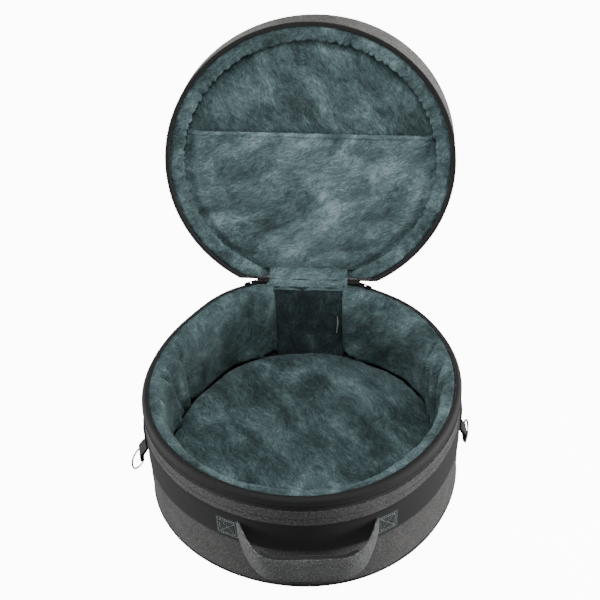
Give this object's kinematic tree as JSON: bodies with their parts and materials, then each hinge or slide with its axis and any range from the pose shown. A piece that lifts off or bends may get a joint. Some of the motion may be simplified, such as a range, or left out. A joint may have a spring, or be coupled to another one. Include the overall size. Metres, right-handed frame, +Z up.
{
  "type": "padded instrument case",
  "caption": "Round soft carry case with a plush-lined tub, a hinged zip lid with an inner pocket, a front carry handle and side rings.",
  "frame": {"origin": "centre of the tub underside, on the surface it stands on", "axes": "+Z up, -Y to the front where the handle is, +Y to the back where the lid is hinged"},
  "size_m": [0.6526, 0.8168, 0.7577],
  "materials": {
    "grey_canvas": "grey melange woven polyester",
    "black_band": "smooth black coated fabric",
    "plush": "dark teal long-pile plush, crushed",
    "black_webbing": "woven black webbing",
    "spacer_mesh": "black spacer mesh",
    "strap_canvas": "grey melange webbing",
    "patch_canvas": "dark grey webbing",
    "zip_tape": "black zip tape",
    "zip_coil": "black nylon coil",
    "dark_metal": "gunmetal finish",
    "ring_steel": "nickel plated wire",
    "foam": "closed-cell foam",
    "board": "plain board",
    "label": "white satin label",
    "piping": "black piping"
  },
  "bodies": {
    "tub": {"base_panel": "black_band", "base_piping": "piping", "base_board": "board", "base_foam": "foam", "floor_cushion_cover": "plush", "floor_cushion_foam": "foam", "lower_canvas_wall": "grey_canvas", "middle_band": "black_band", "upper_canvas_strip": "grey_canvas", "back_canvas": "grey_canvas", "wall_foam": "foam", "rim_tape": "zip_tape", "tub_zip_chain": "zip_coil", "wall_lining": "plush", "wall_padding": "foam", "back_lining": "plush", "care_label": "label", "handle_patch_left": "patch_canvas", "handle_patch_right": "patch_canvas", "ring_tab_left": "black_webbing", "ring_tab_right": "black_webbing", "hinge_canvas": "grey_canvas", "hinge_lining": "plush", "handle_strap": "strap_canvas"},
    "lid": {"lid_top_canvas": "grey_canvas", "lid_side_canvas": "grey_canvas", "lid_foam": "foam", "lid_lining": "plush", "lid_edge_tape": "zip_tape", "lid_zip_chain": "zip_coil", "lid_roll_cover": "plush", "lid_roll_wadding": "foam", "pocket_panel": "plush", "pocket_hem": "plush"},
    "handle": {"handle_grip": "spacer_mesh"},
    "ring_left": {"d_ring_left": "ring_steel"},
    "ring_right": {"d_ring_right": "ring_steel"},
    "slider_left": {"zip_slider_left": "dark_metal"},
    "slider_right": {"zip_slider_right": "dark_metal"},
    "pull_left": {"zip_pull_left": "dark_metal"},
    "pull_right": {"zip_pull_right": "dark_metal"}
  },
  "joints": [
    {"name": "lid_hinge", "type": "hinge", "parent": "tub", "child": "lid", "pos_m": [0.01013, 0.26381, 0.232], "axis": [0.9993, -0.0384, 0], "range_deg": [-45, 105.6], "deforming": ["hinge_lining", "hinge_canvas"]},
    {"name": "handle_swing", "type": "hinge", "parent": "tub", "child": "handle", "pos_m": [0.00681, -0.27876, 0.138], "axis": [0.9997, 0.0244, 0], "range_deg": [-40, 13], "deforming": ["handle_strap"]},
    {"name": "left_ring_swing", "type": "hinge", "parent": "tub", "child": "ring_left", "pos_m": [-0.30994, -0.04909, 0.086], "axis": [0.1564, -0.9877, 0], "range_deg": [-110, 45]},
    {"name": "right_ring_swing", "type": "hinge", "parent": "tub", "child": "ring_right", "pos_m": [0.31379, 0.00274, 0.086], "axis": [-0.0087, 1, 0], "range_deg": [0, 176]},
    {"name": "left_slider_run", "type": "hinge", "parent": "tub", "child": "slider_left", "pos_m": [0, 0, 0.24665], "axis": [0, 0, 1], "range_deg": [0, 151]},
    {"name": "right_slider_run", "type": "hinge", "parent": "tub", "child": "slider_right", "pos_m": [0, 0, 0.24665], "axis": [0, 0, 1], "range_deg": [-151, 0]},
    {"name": "left_pull_flip", "type": "hinge", "parent": "slider_left", "child": "pull_left", "pos_m": [-0.11113, 0.26393, 0.24945], "axis": [-0.3881, 0.9216, 0], "range_deg": [-150, 0]},
    {"name": "right_pull_flip", "type": "hinge", "parent": "slider_right", "child": "pull_right", "pos_m": [0.13105, 0.25463, 0.24945], "axis": [0.4576, 0.8891, 0], "range_deg": [0, 150]}
  ]
}
